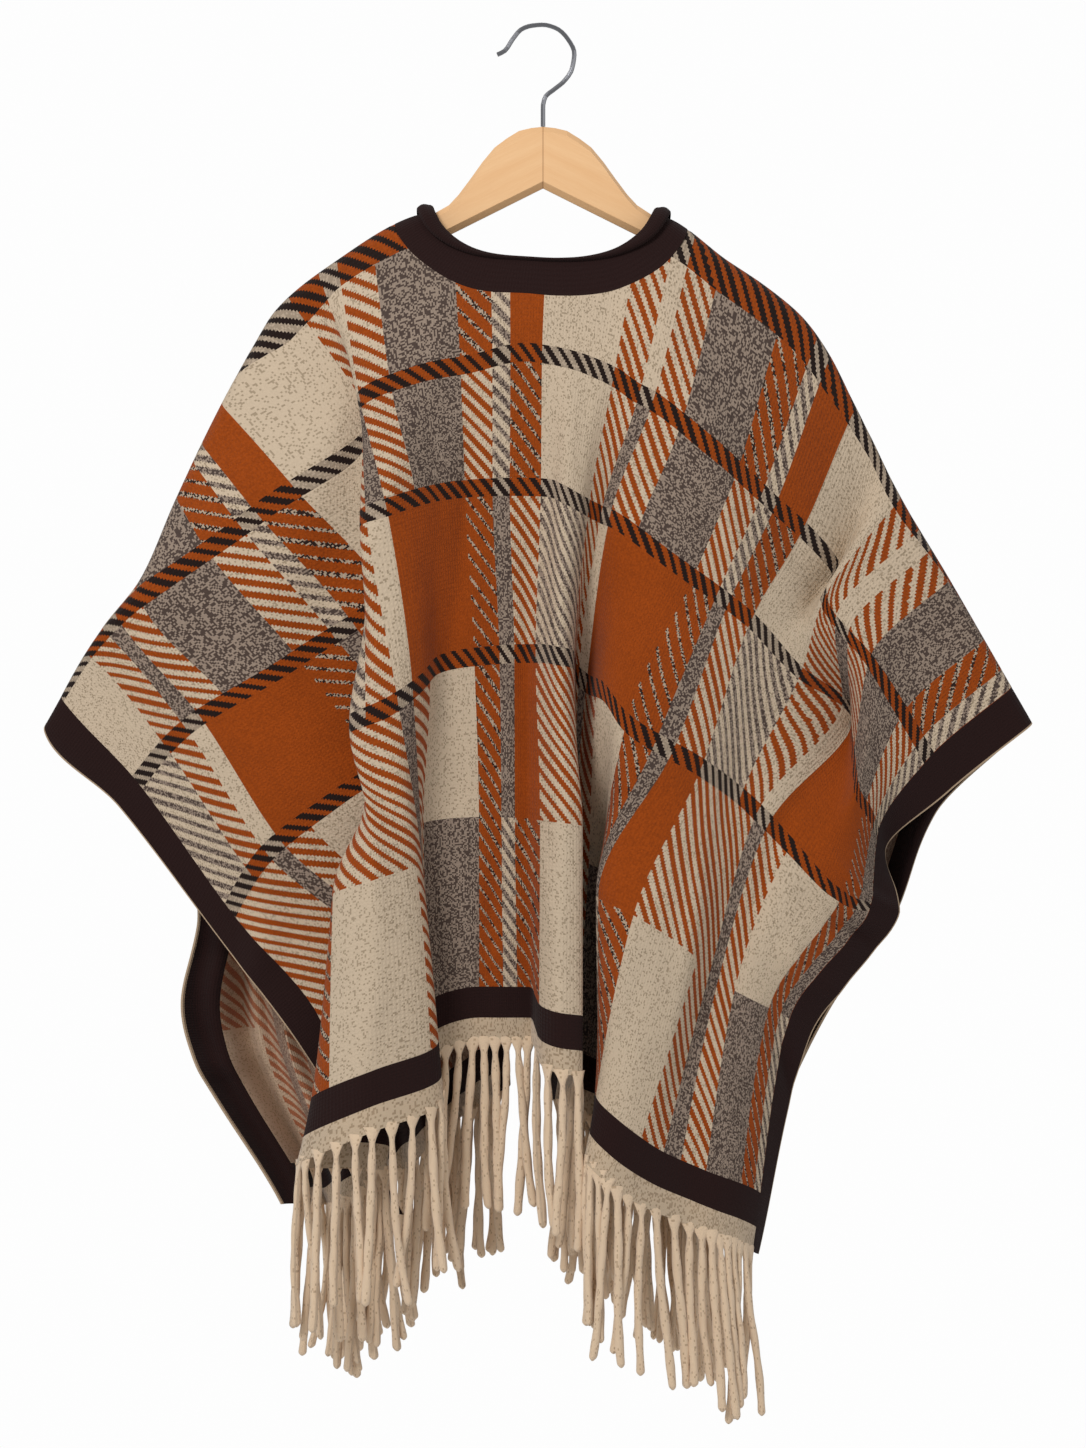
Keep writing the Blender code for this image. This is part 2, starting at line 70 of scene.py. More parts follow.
# The plaid's chart, in millimetres: the columns of one repeat, the bands down the cloth, and what
# fills each. 0 rust, 1 cream, 2 rust stripes on cream, 3 grey tweed, 4 rust with speckled lines,
# 5 cream stripes on tweed. A ramp holds each number as a grey of that many eighths
CODE_SCALE = 8
REPEAT = 303.0
COLUMN_SHIFT = 29.9
COLUMN_STARTS = (0.0, 33.2, 114.6, 143.6, 160.2, 189.3, 251.5, 284.7)
BAND_STARTS = (0.0, 124.0, 234.0, 368.0, 498.0)
BAND_FILLS = (
    (0, 1, 2, 1, 2, 3, 4, 5),
    (4, 1, 2, 3, 2, 3, 2, 5),
    (2, 5, 2, 1, 0, 0, 4, 3),
    (0, 2, 2, 3, 2, 1, 4, 3),
    (4, 1, 2, 3, 2, 3, 4, 5),
)

# The rows of dark dashes, the row along the shoulders (from, to) and the ground between dashes
DASH_ROWS = (124.0, 234.0, 368.0)
DASH_HALF_HEIGHT = 7.5
TOP_DASHES = (-4.0, 28.0)
DASH_GROUND = (0, 1, 0, 1, 0, 0, 0, 1)

# Folding over the hanger, in millimetres: its radius, the distance over which what it takes up
# fades below it, the power by which its push outward fades more slowly, and where the rows of
# faces close up over it
FOLD_RADIUS = 9.0
FOLD_FADE = 40.0
FOLD_OUT_FADE = 0.2
TURN_ABOVE = 14
TURN_BELOW = 16
TURN_ROWS = 8

# Where the picture's eye stands, in millimetres, and the camera there, in metres
EYE_DISTANCE = 2700.0
EYE_HEIGHT = -578.0
CAMERA_DISTANCE = 2.7
CAMERA_HEIGHT = -0.5785
CAMERA_SENSOR = 36.0
VIEW_HEIGHT = 1.2018

# The stage, in metres, and how bright the world is as a light and as a backdrop
FLOOR_HALF = 1.7
FLOOR_HEIGHT = -1.6
LIGHT_TARGET = -0.6
WORLD_LIGHT = 0.42
WORLD_SEEN = 0.985

# Places in each piece's grid: columns across the cloth, rows down it or across a band
BACK_COLUMNS, BACK_ROWS = 251, 112
FRONT_COLUMNS, FRONT_ROWS = 104, 84
STRIP_COLUMNS, STRIP_ROWS = 180, 6
BAND_ROWS = 8
SIDE_COLUMNS = 11
EDGE_ROWS = 150
BACK_NECK_TURNS, FRONT_NECK_TURNS = 91, 46
ROLL_ROWS = 7
LAP_ROWS = 5

# The neck's rolled edge, in millimetres: its radius and lap at the middle, what the shoulders
# add to each, how far the lap stands up and tucks in, and its flat size for the knit
ROLL_RADIUS, ROLL_RADIUS_MORE = 1.6, 1.6
LAP, LAP_MORE = 0.5, 9.5
LAP_CROWN, LAP_TUCK = 1.4, 1.2
NECK_TURN_LENGTH, NECK_ROW_LENGTH = 110, 3.0
NECK_LEAST_W = 0.05

# The hanging pleats of the fronts: full height this far below the fold, then pitch and height
PLEAT_START = 170
PLEAT_PITCH = 52
PLEAT_HEIGHT = 8.0

# How far from the fold the relief reaches its full height
RELIEF_START = 60

# The steps that slopes are measured over, and the least u that counts as the right front
FOLD_STEP = 4
CLOTH_STEP = 1.5
RIGHT_FRONT_START = 0.01

# The strands of the fringe: where their rings stand, sides round them, lengths, how far above
# the cut edge they start, what share of the length the flared root and the tip take, the flare,
# the random bend, curl and thickness, and the twist, as an angle over a length
STRAND_STOPS = np.concatenate([
    [0, 0.02, 0.045, 0.07, 0.09], np.linspace(0.115, 0.97, 19), [0.982, 0.991, 0.997, 1.0],
])
STRAND_SIDES = 12
BACK_STRANDS = 142.0
FRONT_STRANDS = 132.0
STRAND_INSET = 4
ROOT_SHARE = 0.095
TIP_SHARE = 0.022
ROOT_FLARE = 4.4
STRAND_BEND = 15
STRAND_CURL = 3.5
STRAND_GIRTH = (2.9, 3.4)
TWIST_ANGLE = 13
TWIST_LENGTH = 145

# Flat v of the sections that the fold tables give, on the back and on the fronts
BACK_SECTIONS = (124.0, 234.0, 368.0, 498.0, LENGTH)
FRONT_SECTIONS = (124.0, 368.0, 470.0, LENGTH)

# The fold line over the shoulders: flat u, flat v, across, down (mm in the hanger's plane)
SHOULDER_FOLD = (
    (-618, 118, -408, -577),
    (-492, 115, -364, -500),
    (-447, 106, -332, -459),
    (-384, 66, -302, -390),
    (-300, 37, -266, -314),
    (-257, 10, -237, -261),
    (-232, 0, -222, -237),
    (-178, 0, -175, -198),
    (-98, 0, -94, -155),
    (0, 0, 0, -149),
    (98, 0, 95, -157),
    (166, 0, 153, -195),
    (208, 0, 187, -218),
    (241, 0, 215, -242),
    (274, 0, 235, -270),
    (306, 5, 255, -310),
    (388, 12, 294, -388),
    (462, 21, 335, -457),
    (525, 27, 364, -507),
    (618, 33, 405, -578),
)

# One row a fold of the back: its name, then (flat u, across, down, depth) at each section
BACK_FOLDS = (
    ("left_edge", (-618, -408, -582, 0), (-618, -351, -647, -12), (-618, -270, -754, -25),
     (-618, -202, -845, -40), (-618, -115, -986, -10)),
    ("left_mid", (-498, -363, -509, -18), (-498, -300, -586, -25), (-498, -233, -690, -35),
     (-531, -159, -808, -45), (-531, -168, -976, -25)),
    ("left_in", (-332, -235, -405, -34), (-384, -205, -525, -38), (-415, -170, -639, -42),
     (-465, -123, -770, -35), (-481, -148, -965, -42)),
    ("pleat_under", (-212, -144, -333, -40), (-266, -119, -455, -36), (-324, -98, -592, -30),
     (-390, -94, -737, -22), (-432, -131, -950, -50)),
    ("pleat_left", (-176, -152, -313, -60), (-199, -151, -409, -84), (-237, -160, -579, -96),
     (-303, -174, -719, -100), (-340, -204, -945, -78)),
    ("pleat_crest", (-158, -141, -303, -66), (-170, -129, -399, -92), (-199, -129, -565, -110),
     (-257, -140, -706, -116), (-266, -144, -918, -116)),
    ("pleat_right", (-137, -121, -295, -62), (-137, -102, -390, -78), (-158, -101, -544, -88),
     (-208, -104, -691, -94), (-199, -83, -891, -86)),
    ("recess_left", (-108, -94, -287, -56), (-108, -84, -386, -64), (-124, -87, -529, -62),
     (-149, -101, -660, -60), (-149, -94, -859, -58)),
    ("recess", (-71, -61, -281, -50), (-71, -59, -383, -54), (-81, -58, -523, -54),
     (-81, -54, -654, -50), (-81, -54, -841, -46)),
    ("centre", (-13, -15, -271, -47), (-13, -16, -382, -50), (-13, -15, -520, -50),
     (-13, -14, -655, -48), (-8, -9, -841, -44)),
    ("narrow_left", (17, 8, -274, -48), (17, 6, -383, -56), (17, 0, -520, -64),
     (8, 0, -657, -68), (7, -2, -861, -74)),
    ("narrow_crest", (44, 29, -279, -50), (42, 17, -388, -66), (46, 12, -522, -80),
     (29, 17, -659, -86), (29, 16, -869, -88)),
    ("narrow_right", (66, 45, -285, -52), (66, 29, -395, -64), (73, 24, -525, -70),
     (53, 32, -662, -78), (51, 32, -871, -80)),
    ("deep_left", (91, 62, -293, -54), (93, 40, -401, -50), (106, 27, -535, -34),
     (124, 24, -683, -8), (137, 16, -891, 4)),
    ("deep_right", (112, 77, -304, -56), (112, 47, -404, -50), (133, 37, -545, -34),
     (195, 52, -701, -4), (228, 56, -914, 6)),
    ("wide_left", (130, 90, -311, -58), (133, 57, -408, -60), (170, 49, -550, -70),
     (266, 45, -719, -76), (320, 35, -939, -84)),
    ("wide_crest", (191, 140, -351, -60), (191, 104, -442, -68), (222, 69, -577, -86),
     (311, 78, -737, -92), (365, 52, -959, -96)),
    ("right_mid", (266, 187, -393, -52), (306, 171, -492, -52), (306, 130, -614, -72),
     (382, 124, -768, -74), (415, 85, -980, -82)),
    ("right_valley", (320, 223, -426, -30), (388, 212, -535, -40), (388, 163, -638, -52),
     (423, 140, -786, -52), (452, 120, -994, -62)),
    ("flap_under", (347, 242, -452, -8), (432, 256, -571, -2), (452, 197, -671, -48),
     (462, 159, -798, -55), (490, 143, -1003, -56)),
    ("flap_lip", (388, 232, -474, -40), (498, 260, -633, -44), (510, 240, -716, -42),
     (510, 182, -810, -48), (531, 159, -1009, -50)),
    ("flap_crest", (465, 270, -527, -36), (540, 270, -652, -34), (556, 259, -727, -30),
     (564, 199, -818, -36), (573, 172, -1015, -34)),
    ("right_edge", (618, 335, -635, -8), (618, 283, -685, 4), (618, 295, -733, -4),
     (618, 221, -838, -18), (618, 178, -1018, -12)),
)

# One row a fold of the two fronts, from the left side edge to the right one
LEFT_FRONT_FOLDS = (
    ("side", (-618, -326, -642, 30), (-618, -287, -740, 45),
     (-618, -300, -811, 30), (-618, -217, -977, 30)),
    ("side_in", (-578, -318, -618, 34), (-578, -257, -737, 52),
     (-578, -268, -811, 50), (-578, -190, -978, 48)),
    ("side_crest", (-540, -308, -588, 45), (-540, -241, -729, 80),
     (-540, -244, -808, 78), (-540, -178, -978, 95)),
    ("outer_valley", (-448, -289, -530, 30), (-448, -214, -708, 35),
     (-448, -210, -792, 33), (-448, -159, -969, 25)),
    ("outer_crest", (-357, -256, -476, 50), (-357, -181, -683, 85),
     (-357, -170, -770, 90), (-357, -135, -961, 100)),
    ("mid_valley", (-266, -210, -417, 35), (-266, -148, -650, 35),
     (-266, -134, -740, 34), (-266, -106, -940, 28)),
    ("inner_crest", (-174, -160, -355, 50), (-174, -110, -617, 80),
     (-174, -99, -712, 87), (-174, -81, -915, 98)),
    ("inner_valley", (-91, -102, -289, 35), (-91, -73, -588, 40),
     (-91, -66, -688, 38), (-91, -54, -895, 30)),
    ("front_edge", (0, -36, -264, 30), (0, -37, -559, 55), (0, -35, -661, 57), (0, -27, -878, 60)),
)
RIGHT_FRONT_FOLDS = (
    ("front_edge", (0, 31, -264, 30), (0, 39, -559, 55), (0, 33, -663, 57), (0, 2, -886, 60)),
    ("inner_valley", (91, 101, -289, 35), (91, 76, -583, 40), (91, 63, -686, 38), (91, 31, -907, 30)),
    ("inner_crest", (174, 159, -343, 45), (174, 114, -613, 80),
     (174, 95, -713, 86), (174, 57, -932, 95)),
    ("mid_valley", (266, 209, -401, 35), (266, 151, -642, 35),
     (266, 126, -738, 33), (266, 82, -957, 25)),
    ("outer_crest", (357, 255, -463, 45), (357, 188, -671, 80),
     (357, 157, -764, 84), (357, 105, -974, 95)),
    ("outer_valley", (448, 288, -530, 28), (448, 222, -700, 35),
     (448, 183, -786, 33), (448, 122, -986, 25)),
    ("side_crest", (540, 309, -596, 30), (540, 256, -729, 75),
     (540, 207, -805, 70), (540, 134, -997, 88)),
    ("side", (618, 325, -654, 15), (618, 290, -742, 30), (618, 238, -812, 29), (618, 152, -1000, 25)),
)

# Soft creases: flat u, w of both ends, half-width, height (mm); w is below the fold on the back,
# and negative on the fronts
CREASES = (
    (-90, 95, -230, 330, 15, 4.0),
    (-60, 110, -120, 430, 13, -3.5),
    (-20, 160, -35, 520, 16, 3.0),
    (40, 120, 60, 470, 12, 3.0),
    (95, 90, 140, 380, 14, -4.0),
    (110, 60, 330, 250, 18, 4.5),
    (150, 45, 420, 200, 20, -4.0),
    (-150, 40, -380, 190, 18, 3.5),
    (-190, 70, -430, 300, 22, -4.0),
    (-480, 240, -330, 520, 18, 4.0),
    (-540, 330, -420, 600, 16, -3.5),
    (-250, 420, -275, 680, 12, 4.0),
    (-60, 480, -70, 690, 14, -3.5),
    (20, 520, 15, 700, 9, 3.0),
    (250, 420, 330, 690, 14, -4.0),
    (330, 330, 420, 680, 15, 4.0),
    (430, 260, 470, 560, 12, -5.0),
    (480, 330, 660, 382, 11, 7.0),
    (480, 392, 670, 424, 10, -8.0),
    (490, 440, 670, 466, 11, 7.0),
    (500, 505, 670, 570, 13, -5.0),
    (-500, 380, -670, 430, 16, 4.0),
    (-500, -380, -670, -440, 20, 7.0),
    (-500, -520, -670, -560, 18, -7.0),
    (-110, -90, -250, -360, 15, 4.0),
    (-170, -60, -420, -240, 18, -4.0),
    (-60, -180, -75, -600, 12, 3.5),
    (-330, -300, -360, -690, 14, -4.0),
    (-500, -280, -560, -640, 14, 4.0),
    (110, -90, 250, -350, 15, 4.0),
    (180, -60, 420, -230, 18, -4.0),
    (70, -180, 80, -600, 12, -3.5),
    (330, -310, 350, -690, 14, 4.0),
    (480, -300, 560, -640, 14, -4.0),
)


def curves(table, count):
    """Each section of a fold table as stops along u and places in space."""
    made = []
    for k in range(1, count + 1):
        rows = np.array([row[k] for row in table], float)
        nearer = 1.0 + rows[:, 3] / EYE_DISTANCE
        down = EYE_HEIGHT + (rows[:, 2] - EYE_HEIGHT) * nearer
        places = np.stack([rows[:, 1] * nearer, rows[:, 3], down], axis=1)
        made.append((rows[None, :, 0], places[None]))
    return made


def smooth_through(stops, values, at):
    """Monotone cubic curves through values (n, k, d) at stops (n, k), read at (n).

    Stops and values may have one row, which every place shares.
    """
    step = np.diff(stops, axis=1)
    slope = np.diff(values, axis=1) / step[..., None]
    product = slope[:, :-1] * slope[:, 1:]
    weight_a = (2 * step[:, 1:] + step[:, :-1])[..., None]
    weight_b = (step[:, 1:] + 2 * step[:, :-1])[..., None]
    safe_a = np.where(product > 0, slope[:, :-1], 1.0)
    safe_b = np.where(product > 0, slope[:, 1:], 1.0)
    mean = (weight_a + weight_b) / (weight_a / safe_a + weight_b / safe_b)
    inner = np.where(product > 0, mean, 0.0)
    tangent = np.concatenate([slope[:, :1], inner, slope[:, -1:]], axis=1)
    row = np.arange(len(at)) if len(stops) > 1 else np.zeros(len(at), int)
    at = np.clip(at, stops[row, 0], stops[row, -1])
    k = (stops[row, 1:-1] <= at[:, None]).sum(axis=1)
    width = step[row, k][:, None]
    t = (at[:, None] - stops[row, k][:, None]) / width
    ends = (1 + 2 * t) * (1 - t) ** 2 * values[row, k] + t * t * (3 - 2 * t) * values[row, k + 1]
    pulls = t * (1 - t) ** 2 * tangent[row, k] + t * t * (t - 1) * tangent[row, k + 1]
    return ends + pulls * width


BACK_CURVES = curves(BACK_FOLDS, len(BACK_SECTIONS))
LEFT_CURVES = curves(LEFT_FRONT_FOLDS, len(FRONT_SECTIONS))
RIGHT_CURVES = curves(RIGHT_FRONT_FOLDS, len(FRONT_SECTIONS))
FOLD_ROWS = np.array(SHOULDER_FOLD, float)
FOLD_STOPS = FOLD_ROWS[None, :, 0]
FOLD_PLACES = np.stack([
    FOLD_ROWS[:, 2], 0 * FOLD_ROWS[:, 2], FOLD_ROWS[:, 3], FOLD_ROWS[:, 1],
], axis=1)[None]


def fold_at(u):
    """The fold line's place in space and its flat v, in one row of four."""
    return smooth_through(FOLD_STOPS, FOLD_PLACES, u)


def shoulder(u):
    """The fold line's place, its flat v, and the way down from it in the hanger's plane."""
    here = fold_at(u)
    along = (fold_at(u + FOLD_STEP) - fold_at(u - FOLD_STEP))[:, :3]
    along = along / np.linalg.norm(along, axis=1, keepdims=True)
    inward = np.stack([along[:, 2], 0 * u, -along[:, 0]], axis=1)
    return here[:, :3], here[:, 3], inward


def hung(u, below, sections, section_curves, side):
    """Places this far below the fold, through the sections' places, rounded over the fold.

    Side is -1 on the back and 1 on the fronts.
    """
    top, fold_v, inward = shoulder(u)
    places = np.stack([top] + [smooth_through(*curve, u) for curve in section_curves], axis=1)
    stops = np.stack([0 * u] + [section + side * fold_v for section in sections], axis=1)
    place = smooth_through(stops, places, below)
    quarter = FOLD_RADIUS * math.pi / 2
    near = np.maximum(below, 0.0)
    angle = np.minimum(near / FOLD_RADIUS, math.pi / 2)
    fade = np.exp(-np.maximum(near - quarter, 0.0) / FOLD_FADE)
    out = FOLD_RADIUS * np.where(near < quarter, np.sin(angle), fade ** FOLD_OUT_FADE)
    arc = near - FOLD_RADIUS * (1 - np.cos(angle))
    back_up = np.where(near < quarter, arc, (quarter - FOLD_RADIUS) * fade)
    place = place - inward * back_up[:, None]
    place[:, 1] += side * out
    return place


def relief(u, w):
    """Slow unevenness, the fronts' hanging pleats and the creases: how far each lifts, in mm."""
    lift = 0.9 * np.sin(u / 31 + w / 57) + 0.7 * np.sin(u / 17 - w / 71 + 1.3) * np.sin(w / 90)
    hanging = np.clip(-w / PLEAT_START, 0, 1)
    pleat = np.sin(u * 2 * math.pi / PLEAT_PITCH + 1.1 * np.sin(w / 120 + u / 200))
    lift = lift + hanging * pleat * (PLEAT_HEIGHT + 2.0 * np.sin(w / 95 + u / 80))
    for u1, w1, u2, w2, half, height in CREASES:
        run = np.array((u2 - u1, w2 - w1), float)
        reach = np.hypot(*run)
        along = ((u - u1) * run[0] + (w - w1) * run[1]) / reach ** 2
        off = ((u - u1) * run[1] - (w - w1) * run[0]) / reach
        off = off + 5 * np.sin(along * 5 + u1)
        ends = np.clip(along / 0.3, 0, 1) * np.clip((1 - along) / 0.3, 0, 1)
        uneven = 1 + 0.3 * np.sin(along * 11 + w1)
        lift = lift + height * uneven * ends ** 0.7 * np.exp(-(off / half) ** 2)
    return lift


def sheet_at(u, w):
    """The cloth's middle surface: w > 0 on the back, w < 0 on the fronts."""
    u = np.clip(u, -HALF_WIDTH, HALF_WIDTH)
    _, fold_v, _ = shoulder(u)
    near = hung(u, w - fold_v, BACK_SECTIONS, BACK_CURVES, -1.0)
    left = hung(u, fold_v - w, FRONT_SECTIONS, LEFT_CURVES, 1.0)
    right = hung(u, fold_v - w, FRONT_SECTIONS, RIGHT_CURVES, 1.0)
    far = np.where((u > 0)[:, None], right, left)
    place = np.where((w >= fold_v)[:, None], near, far)
    away = np.clip(np.abs(w - fold_v) / RELIEF_START, 0, 1)
    side = np.where(w >= fold_v, -1.0, 1.0)
    place[:, 1] += side * relief(u, w) * away
    return place


def normal_at(u, w):
    """Unit normals of the middle surface, from a step along u and one along w.

    On the right front the step toward the parting stops short of it, since the left front's
    cloth starts there. The left front's step isn't stopped, so its normals are a little off
    within one step of the parting.
    """
    low = u - CLOTH_STEP
    if np.all(w < 0):
        low = np.where(u > 0, np.maximum(low, RIGHT_FRONT_START), low)
    across = sheet_at(u + CLOTH_STEP, w) - sheet_at(low, w)
    down = sheet_at(u, w + CLOTH_STEP) - sheet_at(u, w - CLOTH_STEP)
    normal = np.cross(across, down)
    return normal / np.linalg.norm(normal, axis=1, keepdims=True)


def new_piece(name, vertices, faces, flat, materials, face_material=None):
    """A mesh object from millimetres, with its flat places as a UV map."""
    mesh = bpy.data.meshes.new(name)
    mesh.from_pydata((vertices / 1000.0).tolist(), [], [list(face) for face in faces])
    for material in materials:
        mesh.materials.append(material)
    if face_material is not None:
        mesh.polygons.foreach_set("material_index", face_material.astype(np.int32))
    corners = np.empty(len(mesh.loops), np.int32)
    mesh.loops.foreach_get("vertex_index", corners)
    layer = mesh.uv_layers.new(name="flat")
    layer.data.foreach_set("uv", (flat[corners] / 1000.0).ravel())
    mesh.shade_smooth()
    mesh.set_sharp_from_angle(angle=math.radians(60))
    piece = bpy.data.objects.new(name, mesh)
    bpy.context.scene.collection.objects.link(piece)
    return piece


def grid_faces(columns, rows, loop=False):
    """Quads of a grid whose index is column * rows + row; loop closes the rows."""
    i = np.arange(columns - 1)[:, None]
    j = np.arange(rows if loop else rows - 1)[None, :]
    k = (j + 1) % rows
    quads = np.stack([i * rows + j, (i + 1) * rows + j, (i + 1) * rows + k, i * rows + k], axis=-1)
    return quads.reshape(-1, 4)


def thicken(middle, normal, flat):
    """A closed wall round a grid of places (columns, rows, 3): vertices, faces, flat places.

    The faces of its first side come first, then those of the other side, then the rim.
    """
    columns, rows = middle.shape[:2]
    count = columns * rows
    offset = normal * WALL / 2
    vertices = np.concatenate([(middle + offset).reshape(-1, 3), (middle - offset).reshape(-1, 3)])
    first = grid_faces(columns, rows)
    ring = np.concatenate([
        np.arange(rows), np.arange(1, columns) * rows + rows - 1,
        (columns - 1) * rows + np.arange(rows - 2, -1, -1), np.arange(columns - 2, 0, -1) * rows,
    ])
    following = np.roll(ring, -1)
    rim = np.stack([ring, following, following + count, ring + count], axis=1)
    return vertices, np.concatenate([first, first[:, ::-1] + count, rim]), np.concatenate([flat, flat])


def wall(us, ws):
    """A closed wall over the cut: the u of each column, with its w's or with one row they share."""
    grid_u, grid_w = np.broadcast_arrays(us[:, None], ws)
    u, w = grid_u.ravel(), grid_w.ravel()
    middle = sheet_at(u, w).reshape(*grid_u.shape, 3)
    normal = normal_at(u, w).reshape(*grid_u.shape, 3)
    return thicken(middle, normal, np.stack([u, w], axis=1))


def neck_line(u, depth):
    """Flat v of the neck band's outer edge."""
    half = NECK_HALF_WIDTH + NECK_BAND
    return (depth + NECK_BAND) * np.sqrt(np.maximum(0.0, 1 - (u / half) ** 2))


def rows_down(start, fold_v, end, count):
    """Rows down each column, close together where the cloth turns over its fold."""
    turn_in = np.maximum(fold_v - TURN_ABOVE, start + 2)
    turn_out = np.maximum(fold_v + TURN_BELOW, turn_in + 4)
    part = np.linspace(0, 1, TURN_ROWS + 1)[None, :-1]
    above = start[:, None] + (turn_in - start)[:, None] * part
    over = turn_in[:, None] + (turn_out - turn_in)[:, None] * part
    under = turn_out[:, None] + (end - turn_out)[:, None] * np.linspace(0, 1, count)[None]
    return np.concatenate([above, over, under], axis=1)


class Shader:
    """One material and its node tree."""

    def __init__(self, name):
        self.material = bpy.data.materials.new(name)
        self.material.use_nodes = True
        self.tree = self.material.node_tree
        self.surface = self.tree.nodes["Principled BSDF"]

    def put(self, socket, value):
        if isinstance(value, bpy.types.NodeSocket):
            self.tree.links.new(value, socket)
        else:
            socket.default_value = value

    def node(self, kind, **settings):
        made = self.tree.nodes.new(kind)
        for key, value in settings.items():
            setattr(made, key, value)
        return made

    def math(self, operation, a, b=0.0, c=0.0):
        made = self.node("ShaderNodeMath", operation=operation)
        for socket, value in zip(made.inputs, (a, b, c)):
            self.put(socket, value)
        return made.outputs[0]

    def mix(self, factor, a, b, blend="MIX"):
        made = self.node("ShaderNodeMix", data_type="RGBA", blend_type=blend)
        self.put(made.inputs[0], factor)
        self.put(made.inputs[6], a)
        self.put(made.inputs[7], b)
        return made.outputs[2]

    def noise(self, vector, scale, detail=2.0):
        made = self.node("ShaderNodeTexNoise")
        self.put(made.inputs["Vector"], vector)
        self.put(made.inputs["Scale"], scale)
        self.put(made.inputs["Detail"], detail)
        return made.outputs[0]

    def vector(self, x, y, z=0.0):
        made = self.node("ShaderNodeCombineXYZ")
        for socket, value in zip(made.inputs, (x, y, z)):
            self.put(socket, value)
        return made.outputs[0]

    def split(self, vector):
        made = self.node("ShaderNodeSeparateXYZ")
        self.put(made.inputs[0], vector)
        return made.outputs

    def place(self):
        """The place in the object's own space, in metres."""
        return self.node("ShaderNodeTexCoord").outputs["Object"]

    def flat(self):
        """The piece's flat place in millimetres."""
        source = self.node("ShaderNodeUVMap", uv_map="flat")
        u, w, _ = self.split(source.outputs[0])
        return self.math("MULTIPLY", u, 1000.0), self.math("MULTIPLY", w, 1000.0)

    def chance(self, u, w, across, along):
        """A random number for each fleck of this size."""
        made = self.node("ShaderNodeTexWhiteNoise", noise_dimensions="2D")
        block = self.vector(self.math("SNAP", u, across), self.math("SNAP", w, along))
        self.put(made.inputs["Vector"], block)
        return made.outputs[0]

    def wave(self, along, pitch):
        return self.math("SINE", self.math("MULTIPLY", along, 2 * math.pi / pitch))

    def band(self, along, pitch, share):
        """1 over this share of each pitch and 0 over the rest."""
        return self.math("LESS_THAN", self.math("FRACT", self.math("DIVIDE", along, pitch)), share)

    def bump(self, height, distance, strength):
        made = self.node("ShaderNodeBump")
        self.put(made.inputs["Height"], height)
        self.put(made.inputs["Distance"], distance)
        self.put(made.inputs["Strength"], strength)
        self.put(self.surface.inputs["Normal"], made.outputs[0])

    def finish(self, colour, roughness, sheen=0.0):
        self.put(self.surface.inputs["Base Color"], colour)
        self.put(self.surface.inputs["Roughness"], roughness)
        self.put(self.surface.inputs["Sheen Weight"], sheen)
        self.put(self.surface.inputs["Sheen Roughness"], SHEEN_ROUGHNESS)
        self.put(self.surface.inputs["Specular IOR Level"], DULL_SPECULAR)
        return self.material


def colour_of(red, green, blue):
    """An sRGB colour of 0 to 255 as the linear one that a socket takes."""
    shares = [part / 255 for part in (red, green, blue)]
    linear = [((c + 0.055) / 1.055) ** 2.4 if c > 0.04045 else c / 12.92 for c in shares]
    return (*linear, 1.0)


RUST, RUST_SHADE = colour_of(160, 71, 13), colour_of(120, 50, 6)
CREAM, CREAM_SHADE = colour_of(214, 193, 167), colour_of(198, 178, 153)
CREAM_FLECK = colour_of(168, 149, 125)
TWEED_DARK, TWEED_LIGHT = colour_of(80, 66, 59), colour_of(152, 134, 119)
SPECK_DARK, SPECK_LIGHT = colour_of(46, 32, 27), colour_of(180, 160, 138)
DASH = colour_of(34, 22, 18)
REVERSE_TINT = colour_of(205, 160, 130)
TRIM_LIGHT, TRIM_DARK = colour_of(46, 27, 25), colour_of(30, 16, 15)
TRIM_EDGE = colour_of(176, 152, 126)
STRIP_LIGHT, STRIP_DARK = colour_of(190, 170, 145), colour_of(138, 118, 94)
YARN_LIGHT, YARN_DARK = colour_of(228, 202, 172), colour_of(182, 155, 126)
YARN_CLOUD = colour_of(212, 182, 148)
BEECH, BEECH_GRAIN = colour_of(250, 208, 158), colour_of(236, 184, 130)
BEECH_FINE, BEECH_SEAM = colour_of(216, 158, 102), colour_of(150, 98, 58)
STEEL_LIGHT, STEEL_DARK = colour_of(150, 151, 155), colour_of(132, 133, 138)
PAPER_LIGHT, PAPER_DARK = colour_of(246, 246, 246), colour_of(240, 240, 240)


def steps(s, position, codes):
    """The code of the column that this share of the repeat falls in."""
    ramp = s.node("ShaderNodeValToRGB")
    ramp.color_ramp.interpolation = "CONSTANT"
    stops = ramp.color_ramp.elements
    while len(stops) < len(codes):
        stops.new(0.5)
    for stop, start, code in zip(stops, COLUMN_STARTS, codes):
        stop.position = start / REPEAT
        stop.color = (code / CODE_SCALE, code / CODE_SCALE, code / CODE_SCALE, 1)
    s.put(ramp.inputs[0], position)
    return s.math("ROUND", s.math("MULTIPLY", ramp.outputs[0], float(CODE_SCALE)))


def plaid_code(s, column, stitch_v):
    """The chart's number at this column and this far down the cloth."""
    code = steps(s, column, BAND_FILLS[0])
    for start, codes in zip(BAND_STARTS[1:], BAND_FILLS[1:]):
        below = s.math("GREATER_THAN", stitch_v, start)
        other = steps(s, column, codes)
        code = s.math("MULTIPLY_ADD", below, s.math("SUBTRACT", other, code), code)
    return code


